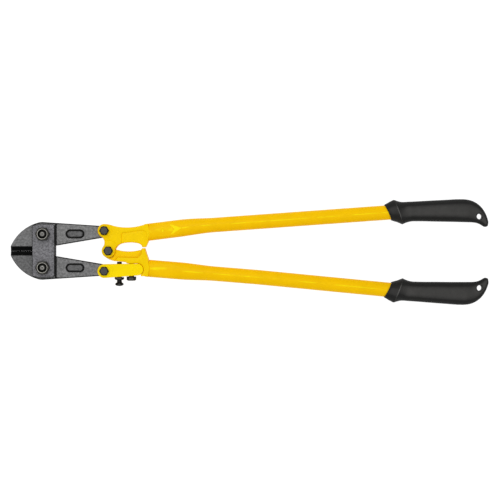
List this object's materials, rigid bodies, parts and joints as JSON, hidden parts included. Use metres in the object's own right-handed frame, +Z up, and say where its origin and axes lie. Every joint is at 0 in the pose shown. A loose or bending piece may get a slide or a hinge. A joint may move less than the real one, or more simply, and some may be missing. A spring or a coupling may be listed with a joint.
{
  "type": "bolt cutters",
  "caption": "Compound-lever bolt cutters with bevelled jaws on two strap plates, yellow forged linkage with a screw adjuster, tubular handles and black hooked grips.",
  "frame": {"origin": "middle of the tool on the bench: half way along its length, on the centre line of the closed jaws, at the height of the surface it lies on", "axes": "+X from the jaws back to the grips, +Y from the centre line to the upper handle, +Z up from the bench"},
  "size_m": [0.9139, 0.203, 0.05],
  "materials": {
    "jaw_steel": "drop-forged, hardened and phosphated dark grey, ground along the cutting bevels",
    "strap_steel": "dark oxide plate steel, matte",
    "bolt_steel": "black oxide, slightly oiled",
    "yellow_paint": "semi-gloss powder coat over forged and drawn steel",
    "grip_rubber": "moulded black rubber, satin, fine grain"
  },
  "bodies": {
    "head": {"front_strap": "strap_steel", "rear_strap": "strap_steel", "upper_pivot_bolt": "bolt_steel", "lower_pivot_bolt": "bolt_steel", "upper_pivot_nut": "bolt_steel", "lower_pivot_nut": "bolt_steel"},
    "upper_jaw": {"upper_jaw": "jaw_steel"},
    "upper_handle": {"upper_fork": "yellow_paint", "upper_tube": "yellow_paint", "upper_grip": "grip_rubber", "upper_link_bolt": "bolt_steel", "upper_link_washer": "bolt_steel", "upper_link_nut": "bolt_steel", "center_bolt": "bolt_steel", "center_washer": "bolt_steel", "center_nut": "bolt_steel"},
    "lower_jaw": {"lower_jaw": "jaw_steel"},
    "adjusting_arm": {"adjusting_arm": "yellow_paint", "lower_link_bolt": "bolt_steel", "lower_link_washer": "bolt_steel", "lower_link_nut": "bolt_steel", "lock_nut": "bolt_steel"},
    "adjusting_screw": {"adjusting_screw": "bolt_steel"},
    "lower_handle": {"lower_fork": "yellow_paint", "lower_tube": "yellow_paint", "lower_grip": "grip_rubber", "fixing_bolt": "bolt_steel", "fixing_washer": "bolt_steel"}
  },
  "joints": [
    {"name": "upper_jaw_swing", "type": "hinge", "parent": "head", "child": "upper_jaw", "pos_m": [-0.3931, 0.032, 0.0235], "axis": [0, 0, 1], "range_deg": [-11.25, 0]},
    {"name": "lower_jaw_swing", "type": "hinge", "parent": "head", "child": "lower_jaw", "pos_m": [-0.3931, -0.032, 0.0235], "axis": [0, 0, 1], "range_deg": [0, 11.25]},
    {"name": "upper_handle_swing", "type": "hinge", "parent": "upper_jaw", "child": "upper_handle", "pos_m": [-0.2768, 0.0385, 0.0235], "axis": [0, 0, 1], "range_deg": [0, 66.25]},
    {"name": "adjusting_arm_swing", "type": "hinge", "parent": "lower_jaw", "child": "adjusting_arm", "pos_m": [-0.2768, -0.0385, 0.0235], "axis": [0, 0, 1], "range_deg": [-66.25, 0]},
    {"name": "lower_handle_set", "type": "hinge", "parent": "adjusting_arm", "child": "lower_handle", "pos_m": [-0.2137, -0.0356, 0.0235], "axis": [0, 0, 1], "range_deg": [-1, 1]},
    {"name": "adjusting_screw_travel", "type": "slide", "parent": "adjusting_arm", "child": "adjusting_screw", "axis": [0, -1, 0], "range_m": [-0.00065, 0.00065]}
  ],
  "couplings": [
    {"joint": "upper_jaw_swing", "follows": "upper_handle_swing", "ratio": -0.16977},
    {"joint": "lower_jaw_swing", "follows": "upper_handle_swing", "ratio": 0.16977},
    {"joint": "adjusting_arm_swing", "follows": "upper_handle_swing", "ratio": -1},
    {"joint": "adjusting_screw_travel", "follows": "lower_handle_set", "m_per_rad": 0.0353}
  ]
}
